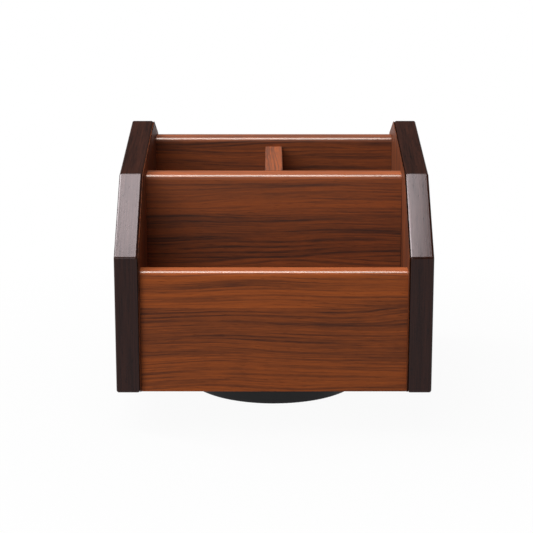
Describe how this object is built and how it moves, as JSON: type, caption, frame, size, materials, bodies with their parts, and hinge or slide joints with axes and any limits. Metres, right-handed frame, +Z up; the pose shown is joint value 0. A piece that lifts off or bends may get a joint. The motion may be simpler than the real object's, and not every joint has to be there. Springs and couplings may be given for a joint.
{
  "type": "rotating desk organizer",
  "caption": "Open-topped wooden desk organizer with stepped side panels and divided compartments that turns on a round swivel base.",
  "frame": {"origin": "on the swivel axis, level with the soles of the feet, at the middle of the footprint", "axes": "+Z up along the swivel axis, -Y towards the low front wall, +X to the right as seen from the front"},
  "size_m": [0.152, 0.158, 0.1293],
  "materials": {
    "espresso_wood": "dark stained, satin lacquer",
    "walnut_laminate": "reddish-brown laminate, satin",
    "beech": "plain, unfinished",
    "black_plastic": "moulded, satin",
    "foot_rubber": "matte",
    "nylon": "natural",
    "bearing_steel": "polished",
    "zinc_plated_steel": "zinc plated"
  },
  "bodies": {
    "base": {"base_disc": "black_plastic", "rubber_foot_1": "foot_rubber", "rubber_foot_2": "foot_rubber", "rubber_foot_3": "foot_rubber", "rubber_foot_4": "foot_rubber", "lower_race": "bearing_steel", "pivot_bolt": "zinc_plated_steel", "thrust_washer": "nylon", "lock_nut": "zinc_plated_steel"},
    "ball_carrier": {"ball_cage": "nylon", "bearing_balls": "bearing_steel"},
    "organizer": {"upper_race": "bearing_steel", "swivel_plate": "black_plastic", "plate_screws": "zinc_plated_steel", "bottom_board": "walnut_laminate", "left_panel": "espresso_wood", "right_panel": "espresso_wood", "left_laminate": "walnut_laminate", "right_laminate": "walnut_laminate", "front_wall": "walnut_laminate", "middle_wall": "walnut_laminate", "rear_wall": "walnut_laminate", "divider": "walnut_laminate", "front_wall_dowels": "beech", "middle_wall_dowels": "beech", "rear_wall_dowels": "beech", "bottom_board_dowels": "beech", "divider_dowels": "beech"}
  },
  "joints": [
    {"name": "swivel", "type": "hinge", "parent": "base", "child": "organizer", "pos_m": [0, 0, 0.0134], "axis": [0, 0, 1], "continuous": true},
    {"name": "ball_orbit", "type": "hinge", "parent": "base", "child": "ball_carrier", "pos_m": [0, 0, 0.0134], "axis": [0, 0, 1], "continuous": true}
  ],
  "couplings": [
    {"joint": "ball_orbit", "follows": "swivel", "ratio": 0.5}
  ]
}
